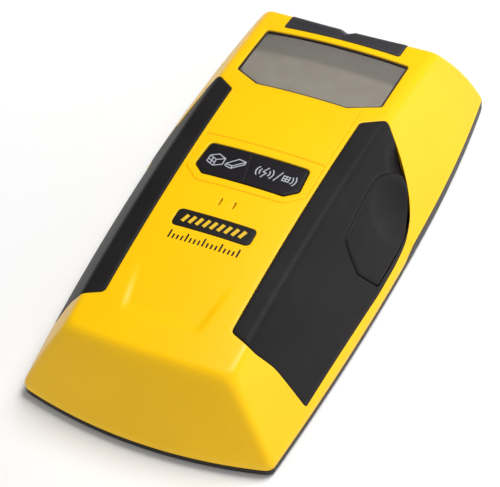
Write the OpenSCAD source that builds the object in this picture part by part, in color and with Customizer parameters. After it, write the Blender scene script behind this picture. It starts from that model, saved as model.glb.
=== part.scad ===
// Hand-held stud finder: sloped-sided casing on a flat sole, with a display, two mode keys,
// a scan key in the right-hand grip and a hinged battery door in the sole.
// Frame: origin at the centre of the sole, +Z up (away from the wall when in use),
// +Y towards the display and the marking notch, +X towards the scan key.

/* [Body] */
// Overall length along Y
body_len = 155; // [152:1:158]
// Overall width along X at the widest place
body_w = 83.3; // [82.3:0.1:85.3]
// Height of the crest above the sole
body_h = 31.4; // [31.2:0.1:32.2]
// Wall thickness of the top casing
wall = 2.6; // [2.2:0.1:2.8]
// Height of the split between the casings, hand end
split_z = 2.4; // [2.2:0.1:2.6]
// Height of the split between the casings, display end
split_far_z = 4.4; // [4:0.1:4.6]
// Thickness of the glide pads under the sole
pad_t = 0.4; // [0.3:0.1:0.6]

/* [Grips] */
// Thickness of the moulded rubber grips
grip_t = 1.5; // [1.2:0.1:1.7]
// How far the grips stand proud of the casing
grip_proud = 0.25; // [0:0.05:0.4]

/* [Display] */
// Width of the display window at its far edge
lcd_w = 44.2; // [42:0.2:45]
// Length of the display window along the slope
lcd_len = 24.4; // [23:0.2:25.4]
// Thickness of the clear lens
lens_t = 1.4; // [1:0.1:1.6]

/* [Keys] */
// Travel of the two mode keys
key_travel = 0.7; // [0.4:0.1:0.8]
// Travel of the scan key
scan_travel = 1.2; // [0.8:0.1:1.3]
// Gap round each key
key_gap = 0.3; // [0.25:0.05:0.4]

/* [Battery] */
// Width of the 9 V block battery
battery_w = 26.5; // [26:0.1:26.5]
// Length of the battery case without its terminals
battery_len = 46.4; // [45:0.1:46.4]
// Thickness of the battery
battery_t = 17.5; // [16.5:0.1:17.5]

/* [Hidden] */
$fn = 48;
eps = 0.01;

// ---- outer form ------------------------------------------------------------------------
// A rim is [near half-width, near corner y, far half-width, far corner y,
//           bow of the sides, bow of the near edge, bow of the far edge, corner length].
half_len = body_len / 2;
half_w = body_w / 2;
base_z = 4;
base_rim = [half_w - 5.2, 4.9 - half_len, half_w - 3.4, half_len - 6.4, 4.2, 4.9, 6.4, 6];
shoulder_rim = [23.5, 11.9 - half_len, 26.8, half_len - 12.6, 0, -0.8, -0.9, 3];
// What one millimetre of inset does to each rim, from the slopes of the walls.
base_step = [-1.18, 1.11, -1.18, -1.15, 0, 0, 0, -0.5];
shoulder_step = [-0.55, 0.63, -0.55, -0.6, 0, 0, 0, -0.3];
crest_y = -7.7;
crest_r_len = 478;
crest_r_wide = 204;
wall_crown = 0.8;
side_steps = 10;
end_steps = 8;
corner_steps = 4;

function sag(t, r) = r - sqrt(r * r - t * t);
function top_z(x, y) = body_h - sag(y - crest_y, crest_r_len) - sag(x, crest_r_wide);
function mix(a, b, f) = a * (1 - f) + b * f;
function bow(f, h) = 4 * f * (1 - f) * h;
function bend(p, q, r, f) = p * pow(1 - f, 2) + q * 2 * f * (1 - f) + r * pow(f, 2);

// One quarter turn of the rim: a straight-ish side, then the rounded corner after it.
function right_side(m) = [for (i = [0 : side_steps])
    let (c = m[7] / (m[3] - m[1]), f = mix(c, 1 - c, i / side_steps))
    [mix(m[0], m[2], f) + bow(f, m[4]), mix(m[1], m[3], f)]];
function far_side(m) = [for (i = [0 : end_steps])
    let (c = m[7] / (2 * m[2]), f = mix(c, 1 - c, i / end_steps))
    [m[2] * (1 - 2 * f), m[3] + bow(f, m[6])]];
function near_side(m) = [for (i = [0 : end_steps])
    let (c = m[7] / (2 * m[0]), f = mix(c, 1 - c, i / end_steps))
    [m[0] * (2 * f - 1), m[1] - bow(f, m[5])]];
function mirrored(pts) = [for (i = [len(pts) - 1 : -1 : 0]) [-pts[i].x, pts[i].y]];
function corner(p, q, r) = [for (i = [1 : corner_steps - 1]) bend(p, q, r, i / corner_steps)];
function outline(m) =
    let (right = right_side(m), far = far_side(m), left = mirrored(right), near = near_side(m))
    concat(right, corner(right[side_steps], [m[2], m[3]], far[0]),
           far, corner(far[end_steps], [-m[2], m[3]], left[0]),
           left, corner(left[side_steps], [-m[0], m[1]], near[0]),
           near, corner(near[end_steps], [m[0], m[1]], right[0]));

// Rings of the form, from its flat underside to the crown.
function low_ring(m, z) = [for (p = outline(m)) [p.x, p.y, z]];
function wall_ring(low, high, inset, f) =
    let (a = outline(low), b = outline(high))
    [for (i = [0 : len(a) - 1])
        let (z_top = top_z(b[i].x, b[i].y) - inset)
        [mix(a[i].x, b[i].x, f), mix(a[i].y, b[i].y, f),
         mix(base_z, z_top, f) + bow(f, wall_crown)]];
function crown_ring(high, inset, g) = [for (p = outline(high))
    [p.x * g, p.y * g, top_z(p.x * g, p.y * g) - inset]];

// A closed skin through rings of equal length, with a last point at its summit.
module ringed_skin(rings, summit) {
    n = len(rings[0]);
    last = len(rings) - 1;
    points = concat([for (ring = rings) each ring], [summit]);
    bottom = [[for (i = [0 : n - 1]) i]];
    walls = [for (j = [0 : last - 1]) for (i = [0 : n - 1])
        let (a = j * n + i, b = j * n + (i + 1) % n)
        each [[b, a, a + n], [b, a + n, b + n]]];
    cap = [for (i = [0 : n - 1]) [last * n + (i + 1) % n, last * n + i, len(points) - 1]];
    polyhedron(points = points, faces = concat(bottom, walls, cap), convexity = 6);
}

// The casing's outer form moved inwards by inset, from height low upwards.
module form(inset = 0, low = 0) {
    lower = base_rim + base_step * inset;
    upper = shoulder_rim + shoulder_step * inset;
    ringed_skin(
        concat([low_ring(lower, low), wall_ring(lower, upper, inset, 0),
                wall_ring(lower, upper, inset, 0.5)],
               [for (g = [1, 0.82, 0.6, 0.3]) crown_ring(upper, inset, g)]),
        [0, 0, top_z(0, 0) - inset]);
}

// The outer skin between two insets, down to a height.
module shell(outer, inner, low) {
    difference() {
        form(outer, low);
        form(inner, low - 1);
    }
}

// ---- shared places ---------------------------------------------------------------------
// Screws through the sole into the top casing: [x, y] of the right-hand ones.
casing_screw_at = [[20, 12 - half_len], [30, half_len - 17]];
// Screws that hold the main board up against posts in the top casing.
board_screw_at = [[18.5, -8.5], [22, 59.5]];
board_z = 15.4;
board_t = 1.6;
board_top = board_z + board_t;
battery_y = -64.6;
battery_z = split_z + 0.7;
battery_mid_z = battery_z + battery_t / 2;
door_w = battery_w + 1.6;
door_len = 52;
door_y = battery_y - 1.6;
// The door's hinge pins: their height and distance from the door's edge, radius and reach.
door_pin = [0, door_y + 1.2, split_z - 0.6];
door_pin_r = 0.9;
door_pin_len = 1.4;

// Half-outline points mirrored to the left, counter-clockwise.
function both_sides(half) = concat(half, mirrored(half));
lcd_half = [[lcd_w / 2 - 8.3, -lcd_len / 2], [lcd_w / 2 + 0.1, 4.7 - lcd_len / 2],
            [lcd_w / 2, lcd_len / 2]];
lcd_mid_y = 42.5;
lcd_tilt = -asin((lcd_mid_y - crest_y) / crest_r_len);
key_half = [[12.1, -7.9], [15.4, -5.1], [14.8, 3.4]];
key_mid_y = -2.2;
// The slanted split between the two mode keys: x at the near edge, x at the far edge.
key_split = [0.6, -2];
// The right-hand grip seen from above.
grip_points = [[18.4, -53.2], [24.7, -55.5], [29.8, -53.2], [37.3, -52.9], [39, -25.8],
               [39.9, -10.3], [40.1, -0.3], [40, 5.7], [39.6, 10.4], [38.5, 15], [36.9, 18.6],
               [34.7, 22], [31.6, 25.6], [25.9, 30.5], [19.6, 26]];
// The scan key seen along its own axis: x down the slope, y along the body.
side_key_points = [[9.4, -13.7], [9.5, -4.5], [9.5, 1.5], [8.9, 5.4], [6.8, 10.3], [4.5, 13.3],
                   [0.6, 17], [-2.5, 17.8], [-6.2, 14.6], [-9.2, 9.8], [-9.4, 1.7], [-8.1, -13.2],
                   [-5.4, -14.8], [1.2, -17.2]];
side_at = [34.5, 4.2, 15.5];
side_tilt = 58.2;
// Depths below the scan key's origin, along its axis.
side_plate_top = -3.9;
side_plate_t = 1.2;
side_stem_end = -7.2;
side_body_top = -8.8;
side_board_top = -12.2;
side_board_t = 1.2;

module on_display() {
    translate([0, lcd_mid_y, top_z(0, lcd_mid_y)])
        rotate([lcd_tilt, 0, 0])
            children();
}
module on_side_key() {
    translate(side_at)
        rotate([0, side_tilt, 0])
            children();
}
module both_hands() {
    children();
    mirror([1, 0, 0])
        children();
}
module grip_outline(grow = 0) {
    offset(r = grow)
        offset(r = -1.5)
            offset(r = 1.5)
                polygon(grip_points);
}
module side_key_prism(grow, low, high) {
    on_side_key()
        translate([0, 0, low])
            linear_extrude(high - low)
                offset(r = grow)
                    polygon(side_key_points);
}
module lcd_prism(grow, low, high) {
    on_display()
        translate([0, 0, low])
            linear_extrude(high - low)
                offset(delta = grow)
                    polygon(both_sides(lcd_half));
}
module key_bar_prism(grow, low, high) {
    translate([0, 0, low])
        linear_extrude(high - low)
            offset(delta = grow)
                polygon(both_sides(key_half));
}
// A tube of radius r along points; side is a direction that the path never takes.
function direction(p, i) =
    let (a = p[max(i - 1, 0)], b = p[min(i + 1, len(p) - 1)]) (b - a) / norm(b - a);
function tube_ring(p, i, r, sides, side) =
    let (t = direction(p, i), u = cross(t, side) / norm(cross(t, side)), v = cross(t, u))
    [for (k = [0 : sides - 1]) p[i] + r * (cos(360 * k / sides) * u + sin(360 * k / sides) * v)];
module tube(p, r, sides, side) {
    n = len(p);
    points = [for (i = [0 : n - 1]) each tube_ring(p, i, r, sides, side)];
    start = [[for (k = [0 : sides - 1]) k]];
    end = [[for (k = [sides - 1 : -1 : 0]) (n - 1) * sides + k]];
    walls = [for (i = [0 : n - 2]) for (k = [0 : sides - 1])
        let (a = i * sides + k, b = i * sides + (k + 1) % sides)
        each [[b, a, a + sides], [b, a + sides, b + sides]]];
    polyhedron(points = points, faces = concat(start, end, walls), convexity = 8);
}

// ---- casings ---------------------------------------------------------------------------
end_insert_w = 36.2;
end_insert_y = half_len - 20;
end_insert_low = 8;
boss_r = 3.2;
pilot_r = 1.15;
pilot_top = 12.5;
post_r = 2.2;
post_pilot_r = 0.9;
post_pilot_len = 3;
slit_at = [[-2.5, -16.1], [1.6, -16.1]];

slit_size = [0.6, 2.6];
slit_depth = 6;
boss_low = 6.4;
// The split steps up between these two places along Y.
split_step_y = [4, 10];
// Cuts through the shell run between these heights over and under its outer face.
cut_high = 3;
cut_low = -7;
side_cut_low = -6;

// Everything above the split: it steps up towards the display end.
module above_split() {
    rotate([90, 0, 90])
        linear_extrude(body_w + 2, center = true)
            polygon([[-half_len - 1, split_z], [split_step_y[0], split_z],
                     [split_step_y[1], split_far_z],
                     [half_len + 1, split_far_z], [half_len + 1, body_h + 2],
                     [-half_len - 1, body_h + 2]]);
}
module end_insert_block(grow) {
    translate([-end_insert_w / 2 - grow, end_insert_y - grow, end_insert_low - grow])
        cube([end_insert_w + 2 * grow, 30, body_h]);
}
// Screw bosses and board posts hang from the roof of the top casing.
module roof_posts() {
    intersection() {
        form(wall / 2, split_z);
        both_hands() {
            for (p = casing_screw_at)
                translate([p.x, p.y, boss_low])
                    cylinder(r = boss_r, h = body_h);
            for (p = board_screw_at)
                translate([p.x, p.y, board_top])
                    cylinder(r = post_r, h = body_h);
        }
    }
}
module top_casing() {
    color("gold")
    difference() {
        union() {
            intersection() {
                shell(0, wall, split_z);
                above_split();
            }
            roof_posts();
        }
        both_hands() {
            intersection() {
                shell(-1, grip_t, split_z);
                translate([0, 0, base_z])
                    linear_extrude(body_h)
                        grip_outline();
            }
            for (p = casing_screw_at)
                translate([p.x, p.y, 0])
                    cylinder(r = pilot_r, h = pilot_top);
            for (p = board_screw_at)
                translate([p.x, p.y, 0])
                    cylinder(r = post_pilot_r, h = board_top + post_pilot_len);
        }
        intersection() {
            shell(-1, grip_t, split_z);
            end_insert_block(0);
        }
        lcd_prism(0, cut_low, cut_high);
        key_bar_prism(key_gap, key_low - wall, body_h + 1);
        side_key_prism(key_gap, side_cut_low, cut_high);
        for (p = slit_at)
            translate([p.x - slit_size.x / 2, p.y - slit_size.y / 2, body_h - slit_depth])
                cube([slit_size.x, slit_size.y, slit_depth + 1]);
        badge_block();
    }
}
comp_wall = 1.3;
comp_h = 10;
battery_end = battery_y + battery_len;
door_gap = 0.3;
// The near edge of the door swings out round its pins, so it has more room.
door_hinge_gap = 0.9;
sensor_z = 3.4;
sensor_t = 1;
sensor_mid_y = 39;
sensor_post_at = [[19, 17], [19, 61]];
sensor_post_r = 1.5;
lip_h = 1.4;
lip_t = 1.15;
lip_gap = 0.2;
rib_size = [9, 1.2, 6];
rib_x = 19;
rib_off_y = 7.9;
screw_bore_r = 1.6;
screw_well_r = 3;
screw_well_top = 3;
scallop_r = 5;
scallop_depth = 1.8;

module on_screws(z) {
    both_hands()
        for (p = casing_screw_at)
            translate([p.x, p.y, z])
                children();
}
module on_board_screws(z) {
    both_hands()
        for (p = board_screw_at)
            translate([p.x, p.y, z])
                children();
}
module outline_plate(low, high) {
    translate([0, 0, low])
        linear_extrude(high - low)
            polygon(outline(base_rim));
}
// Pins or their sockets at the two sides of the door's hinge end.
module door_pins(r, reach) {
    for (side = [-1, 1])
        translate(door_pin + [side * (door_w + reach) / 2, 0, 0])
            rotate([0, 90, 0])
                cylinder(r = r, h = reach + 0.1, center = true);
}
// The raised rim of the display end, and the lip along the inside of the top casing's wall.
module base_rim_and_lip() {
    difference() {
        union() {
            difference() {
                outline_plate(split_z - eps, split_far_z);
                above_split();
            }
            intersection() {
                form(wall + lip_gap, split_z - eps);
                outline_plate(0, split_far_z + lip_h);
            }
        }
        form(wall + lip_gap + lip_t, -1);
        side_key_prism(2 * key_gap, -10, 1);
    }
}
// Two ribs that the scan key's switch board slides between.
module side_board_ribs() {
    for (side = [-1, 1])
        translate([rib_x, side_at.y + side * rib_off_y - rib_size.y / 2, split_z - eps])
            cube(rib_size);
}
module base_casing() {
    color("dimgray")
    difference() {
        union() {
            outline_plate(pad_t, split_z);
            base_rim_and_lip();
            on_screws(split_z - eps)
                cylinder(r = boss_r + 0.4, h = boss_low - 0.3 - split_z);
            both_hands() {
                translate([door_w / 2 + door_gap, door_y - 1.4, split_z - eps])
                    cube([comp_wall, battery_len + 1, comp_h]);
                for (p = sensor_post_at)
                    translate([p.x, p.y, split_z - eps])
                        cylinder(r = sensor_post_r, h = sensor_z - split_z + eps);
            }
            side_board_ribs();
        }
        translate([-door_w / 2 - door_gap, door_y - door_hinge_gap, -1])
            cube([door_w + 2 * door_gap, door_len + door_hinge_gap + door_gap, split_z + 1 + eps]);
        on_screws(-1)
            cylinder(r = screw_bore_r, h = boss_low + 2);
        on_screws(-1)
            cylinder(r = screw_well_r, h = screw_well_top + 1);
        door_pins(door_pin_r + 0.08, door_pin_len + 0.4);
        translate([0, door_y + door_len, -1])
            cylinder(r = scallop_r, h = pad_t + scallop_depth);
    }
}
latch_arm = [8, 1.2, 3.6];
ridge_size = [12, 1, 0.5];
ridge_pitch = 2;
ridge_count = 4;
module battery_door() {
    color("dimgray")
    difference() {
        union() {
            translate([-door_w / 2, door_y, pad_t])
                cube([door_w, door_len, split_z - pad_t]);
            door_pins(door_pin_r, door_pin_len);
            translate([-latch_arm.x / 2, door_y + door_len - latch_arm.y - 0.2, split_z - eps])
                cube(latch_arm);
        }
        for (i = [1 : ridge_count])
            translate([-ridge_size.x / 2, door_y + door_len - scallop_r - ridge_pitch * (i - 1), pad_t - 1])
                cube([ridge_size.x, ridge_size.y, ridge_size.z + 1]);
    }
}
near_pad = [30, 4.6];
far_pad = [48, 4.6];
side_pad = [4, 42];
// Lowest y of the near and far pads; corner of the right-hand one.
near_pad_y = 2.4 - half_len;
far_pad_y = half_len - 9.4;
side_pad_at = [31.5, -12];
module glide_pads() {
    color("silver") {
        translate([-near_pad.x / 2, near_pad_y, 0])
            cube([near_pad.x, near_pad.y, pad_t]);
        translate([-far_pad.x / 2, far_pad_y, 0])
            cube([far_pad.x, far_pad.y, pad_t]);
        both_hands()
            translate([side_pad_at.x, side_pad_at.y, 0])
                cube([side_pad.x, side_pad.y, pad_t]);
    }
}

// ---- rubber and trim -------------------------------------------------------------------
scoop_r = 24;
scoop_depth = 1.1;
scoop_at = [-9.3, 17.4];
dish_r = 22;
dish_depth = 1;
dish_y = 6;
notch_w = 4.8;
notch_depth = 1.7;
// Slope of the notch along the end: how far it runs out over how far it drops.
notch_slope = [10, 17];

module finger_scoop() {
    on_side_key()
        translate([scoop_at.x, scoop_at.y, scoop_r - scoop_depth])
            sphere(scoop_r);
}
module grip() {
    difference() {
        intersection() {
            shell(-grip_proud, grip_t, split_z);
            translate([0, 0, base_z])
                linear_extrude(body_h)
                    grip_outline();
        }
        finger_scoop();
    }
}
module right_grip() {
    color("darkslategray")
    difference() {
        grip();
        side_key_prism(key_gap, side_cut_low, cut_high);
    }
}
module left_grip() {
    color("darkslategray")
    mirror([1, 0, 0])
        grip();
}
module end_insert() {
    color("dimgray")
    difference() {
        intersection() {
            shell(-grip_proud, grip_t, split_z);
            end_insert_block(-0.1);
        }
        translate([0, shoulder_rim[3], top_z(0, shoulder_rim[3])])
            rotate([atan(notch_slope.x / notch_slope.y), 0, 0])
                linear_extrude(2 * half_w, center = true)
                    polygon([[-notch_w / 2, 0.4], [0, 0.4 - notch_depth], [notch_w / 2, 0.4],
                             [notch_w / 2, 4], [-notch_w / 2, 4]]);
    }
}
badge_size = [23, 5.8];
badge_mid = [-0.4, -24.5];
badge_proud = 0.1;
badge_sunk = 0.4;
module badge_block() {
    intersection() {
        shell(-badge_proud, badge_sunk, split_z);
        translate([badge_mid.x, badge_mid.y, body_h])
            cube([badge_size.x, badge_size.y, 8], center = true);
    }
}
module badge_plate() {
    color("black")
    badge_block();
}

// ---- display ---------------------------------------------------------------------------
// Heights below the middle of the window, square to it.
lens_sink = 0.5;
lcd_top = -3.5;
lcd_bottom = -5.8;
lcd_frame_low = -6.2;
lcd_frame_top = -4.3;
lens_gap = 0.15;
// Distances outwards from the window's edge.
frame_out = 0.8;
frame_in = -1.6;
panel_out = -1.8;
zebra_size = [24, 1.8, 12];
zebra_off_y = 8;
module lcd_lens() {
    color("lightgray", 0.5)
    intersection() {
        shell(lens_sink, lens_sink + lens_t, split_z);
        lcd_prism(-lens_gap, cut_low, cut_high);
    }
}
module lcd_frame() {
    color("black")
    difference() {
        lcd_prism(frame_out, lcd_frame_low, lcd_frame_top);
        lcd_prism(frame_in, lcd_frame_low - 1, 0);
    }
}
module lcd_panel() {
    color("darkseagreen")
    lcd_prism(panel_out, lcd_bottom, lcd_top);
}
module zebra_strips() {
    color("slategray")
    difference() {
        for (side = [-1, 1])
            translate([-zebra_size.x / 2, lcd_mid_y + side * zebra_off_y - zebra_size.y / 2, board_top])
                cube(zebra_size);
        on_display()
            translate([-half_w, -half_w, lcd_bottom])
                cube([body_w, body_w, body_h]);
    }
}

// ---- mode keys -------------------------------------------------------------------------
key_low = 26.7;
key_proud = 0.2;
key_flange_t = 0.6;
key_flange_w = 0.9;
key_stem_r = 1.5;
switch_x = 7.5;
switch_w = 6.2;
switch_h = 4.3;
switch_floor = 1.8;
switch_gap = 0.2;
plunger_r = 1.7;
plunger_top = 23;
plunger_len = 3.2;
key_near_y = key_half[0].y;
key_far_y = key_half[2].y;

function split_x(y) = mix(key_split[0], key_split[1], (y - key_near_y) / (key_far_y - key_near_y));
// The plan on one side (-1 left, 1 right) of the slanted gap between the keys.
module key_side(side) {
    near = key_near_y - 3;
    far = key_far_y + 3;
    offset_x = side * key_gap / 2;
    translate([0, 0, key_low - 1])
        linear_extrude(10)
            polygon([[split_x(near) + offset_x, near], [split_x(far) + offset_x, far],
                     [side * 20, far], [side * 20, near]]);
}
module mode_key_cap(side) {
    intersection() {
        form(-key_proud, split_z);
        union() {
            key_bar_prism(0, key_low, body_h + 1);
            key_bar_prism(key_flange_w, key_low, key_low + key_flange_t);
        }
        key_side(side);
    }
    translate([side * switch_x, key_mid_y, plunger_top])
        cylinder(r = key_stem_r, h = key_low - plunger_top + eps);
}
module plunger(side) {
    translate([side * switch_x, key_mid_y, plunger_top - plunger_len])
        cylinder(r = plunger_r, h = plunger_len);
}
module stud_key() {
    color("black")
    mode_key_cap(-1);
}
module mode_key() {
    color("black")
    mode_key_cap(1);
}
module stud_key_plunger() {
    color("white")
    plunger(-1);
}
module mode_key_plunger() {
    color("white")
    plunger(1);
}
module key_switches() {
    color("gray")
    for (side = [-1, 1])
        translate([side * switch_x, key_mid_y, board_top])
            difference() {
                translate([-switch_w / 2, -switch_w / 2, 0])
                    cube([switch_w, switch_w, switch_h]);
                translate([0, 0, switch_floor])
                    cylinder(r = plunger_r + switch_gap, h = switch_h);
            }
}

// ---- scan key --------------------------------------------------------------------------
side_switch_x = 1;
side_switch_floor = 0.4;
side_stem_r = 2;
side_board_size = [10.6, 14];
side_board_x = -5;
side_plate = [[-10.6, -12.6], [6, -12.6], [6, 9.6], [-10.6, 9.6]];
spring_r = 4.9;
spring_wire_r = 0.35;
spring_turns = 5;
spring_steps = 14;
module side_key() {
    color("darkslategray")
    difference() {
        union() {
            intersection() {
                form(-grip_proud, split_z);
                side_key_prism(0, side_plate_top - eps, cut_high);
            }
            on_side_key() {
                translate([0, 0, side_plate_top - side_plate_t])
                    linear_extrude(side_plate_t)
                        polygon(side_plate);
                translate([side_switch_x, 0, side_stem_end])
                    cylinder(r = side_stem_r, h = side_plate_top - side_stem_end - side_plate_t / 2);
            }
        }
        on_side_key()
            translate([0, dish_y, dish_r - dish_depth])
                sphere(dish_r);
    }
}
module side_key_plunger() {
    color("white")
    on_side_key()
        translate([side_switch_x, 0, side_stem_end - plunger_len])
            cylinder(r = plunger_r, h = plunger_len);
}
module side_key_spring() {
    top = side_plate_top - side_plate_t - spring_wire_r;
    bottom = side_board_top + spring_wire_r;
    count = spring_turns * spring_steps;
    color("silver")
    on_side_key()
        tube([for (i = [0 : count])
                [side_switch_x + spring_r * cos(360 * i / spring_steps),
                 spring_r * sin(360 * i / spring_steps), mix(bottom, top, i / count)]],
             spring_wire_r, 6, [0, 0, 1]);
}
module side_switch() {
    color("gray")
    on_side_key()
        translate([side_switch_x, 0, side_board_top])
            difference() {
                translate([-switch_w / 2, -switch_w / 2, 0])
                    cube([switch_w, switch_w, side_body_top - side_board_top]);
                translate([0, 0, side_switch_floor])
                    cylinder(r = plunger_r + switch_gap, h = switch_h);
            }
}
module side_board() {
    color("seagreen")
    on_side_key()
        translate([side_board_x, -side_board_size.y / 2, side_board_top - side_board_t])
            cube([side_board_size.x, side_board_size.y, side_board_t]);
}

// ---- electronics -----------------------------------------------------------------------
board_half_w = 26;
board_y = [-11, 62.5];
side_notch = [20.5, -5];
side_notch_size = [10, 18];
header_at = [0, 15.2];
header_size = [12.7, 2.5, 2.5];
header_pitch = 2.54;
header_pin_r = 0.35;
screw_hole_r = 1.1;
chip_size = [10, 10, 1.6];
chip_at = [-5, 13];
small_size = [1.6, 0.9, 0.7];
small_pitch = 2.6;
capacitor_r = 2.5;
capacitor_h = 5.5;
crystal_size = [4.5, 10, 3.5];
buzzer_r = 6;
buzzer_h = 4.2;
buzzer_z = 24;
buzzer_hole_r = 1.2;
sensor_board_size = [45, 52];
sensor_plate_size = [10, 40, 0.1];
sensor_plate_pitch = 11.5;
coil_r = 17;
coil_size = [2.4, 2];
module main_board() {
    color("seagreen")
    difference() {
        translate([-board_half_w, board_y[0], board_z])
            cube([2 * board_half_w, board_y[1] - board_y[0], board_t]);
        on_board_screws(board_z - 1)
            cylinder(r = screw_hole_r, h = board_t + 2);
        translate([side_notch.x, side_notch.y, board_z - 1])
            cube([side_notch_size.x, side_notch_size.y, board_t + 2]);
    }
}
module processor() {
    color("black")
    translate([chip_at.x, chip_at.y, board_top])
        cube(chip_size);
}
module board_components() {
    color("darkorange") {
        for (i = [0 : 4])
            translate([small_pitch * i - 20, 8, board_top])
                cube(small_size);
        for (i = [0 : 3])
            translate([small_pitch * i + 9, 26, board_top])
                cube(small_size);
        for (y = [14, 22])
            translate([-17, y, board_top])
                cylinder(r = capacitor_r, h = capacitor_h);
        translate([11, 14, board_top])
            cube(crystal_size);
    }
}
module buzzer() {
    color("black")
    translate([slit_at[0].x / 2 + slit_at[1].x / 2, slit_at[0].y, buzzer_z])
        difference() {
            cylinder(r = buzzer_r, h = buzzer_h);
            translate([0, 0, buzzer_h - 1])
                cylinder(r = buzzer_hole_r, h = 2);
        }
}
module sensor_board() {
    color("seagreen")
    translate([-sensor_board_size.x / 2, sensor_mid_y - sensor_board_size.y / 2, sensor_z])
        cube([sensor_board_size.x, sensor_board_size.y, sensor_t]);
}
module sensor_plates() {
    color("orange")
    for (i = [-1 : 1])
        translate([sensor_plate_pitch * i - sensor_plate_size.x / 2,
                   sensor_mid_y - sensor_plate_size.y / 2, sensor_z - sensor_plate_size.z])
            cube(sensor_plate_size);
}
module sensing_coil() {
    color("chocolate")
    translate([0, sensor_mid_y, sensor_z + sensor_t])
        rotate_extrude()
            translate([coil_r, 0])
                square(coil_size);
}
module board_header() {
    low = sensor_z + sensor_t;
    color("black")
    translate([header_at.x, header_at.y, 0]) {
        for (z = [low, board_z - header_size.z])
            translate([-header_size.x / 2, -header_size.y / 2, z])
                cube(header_size);
        for (i = [-2 : 2])
            translate([header_pitch * i, 0, low + 1])
                cylinder(r = header_pin_r, h = board_z - low - 2);
    }
}

// ---- battery ---------------------------------------------------------------------------
terminal_x = 6.35;
terminal_len = 2;
snap_y = battery_end + 0.3;
snap_t = 4.2;
snap_size = [23, 9.2];
small_terminal_r = 2.9;
large_terminal_r = 4.1;
lead_r = 0.6;
pad_block = [20, 20, 5.3];
pad_block_y = 8;
module battery() {
    color("darkslateblue")
    translate([-battery_w / 2, battery_y, battery_z])
        cube([battery_w, battery_len, battery_t]);
}
// Battery terminals, or the sockets for them: the small one and the large one.
module terminals(grow, length) {
    translate([0, battery_end, battery_mid_z])
        rotate([-90, 0, 0]) {
            translate([-terminal_x, 0, 0])
                cylinder(r = small_terminal_r + grow, h = length);
            translate([terminal_x, 0, 0])
                cylinder(r = large_terminal_r + grow, h = length);
        }
}
module battery_terminals() {
    color("silver")
    terminals(0, terminal_len);
}
module battery_snap() {
    color("black")
    difference() {
        translate([-snap_size.x / 2, snap_y, battery_mid_z - snap_size.y / 2])
            cube([snap_size.x, snap_t, snap_size.y]);
        terminals(0.1, terminal_len + 0.2);
    }
}
// Route of a lead from the snap to the underside of the main board.
function lead_route(side) = [for (p = [[6, 0, 0], [6, 1.3, 0], [6.2, 2.7, -0.4], [6.5, 4.1, -0.4],
                                      [6.9, 5.3, -0.1], [7, 6.1, 0.4], [7, 6.1, board_z - battery_mid_z]])
    [side * p.x, snap_y + snap_t + p.y, battery_mid_z + p.z]];
module red_lead() {
    color("red")
    tube(lead_route(-1), lead_r, 10, [1, 0, 0]);
}
module black_lead() {
    color("black")
    tube(lead_route(1), lead_r, 10, [1, 0, 0]);
}
module battery_pad() {
    color("dimgray")
    translate([-pad_block.x / 2, battery_y + pad_block_y, battery_z + battery_t])
        cube(pad_block);
}

// ---- fasteners -------------------------------------------------------------------------
// Head radius, head height, shank radius, shank length.
casing_screw = [2.7, 1.8, 1.1, 9];
board_screw = [1.9, 1.6, 0.85, 4];
module screw(head_r, head_h, shank_r, shank_len) {
    difference() {
        union() {
            cylinder(r = head_r, h = head_h);
            cylinder(r = shank_r, h = head_h + shank_len);
        }
        for (turn = [0, 90])
            rotate([0, 0, turn])
                cube([head_r * 1.3, head_r * 0.3, head_h], center = true);
    }
}
module casing_screws() {
    color("silver")
    on_screws(screw_well_top - casing_screw[1])
        screw(casing_screw[0], casing_screw[1], casing_screw[2], casing_screw[3]);
}
module board_screws() {
    color("silver")
    on_board_screws(board_z - board_screw[1])
        screw(board_screw[0], board_screw[1], board_screw[2], board_screw[3]);
}

top_casing();
base_casing();
battery_door();
glide_pads();
left_grip();
right_grip();
end_insert();
badge_plate();
lcd_lens();
lcd_frame();
lcd_panel();
zebra_strips();
stud_key();
mode_key();
stud_key_plunger();
mode_key_plunger();
key_switches();
side_key();
side_key_plunger();
side_key_spring();
side_switch();
side_board();
main_board();
processor();
board_components();
buzzer();
sensor_board();
sensor_plates();
sensing_coil();
board_header();
battery();
battery_terminals();
battery_snap();
red_lead();
black_lead();
battery_pad();
casing_screws();
board_screws();
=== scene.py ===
"""The looks of a hand-held stud finder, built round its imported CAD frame.

Sizes are in millimetres in the row frame until mesh_object() turns them into metres:
+X towards the scan key, +Y towards the display, +Z up from the sole.
"""
import math

import bpy
import numpy as np
from mathutils import Matrix, Vector
from mathutils.geometry import delaunay_2d_cdt
from mathutils.kdtree import KDTree


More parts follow.
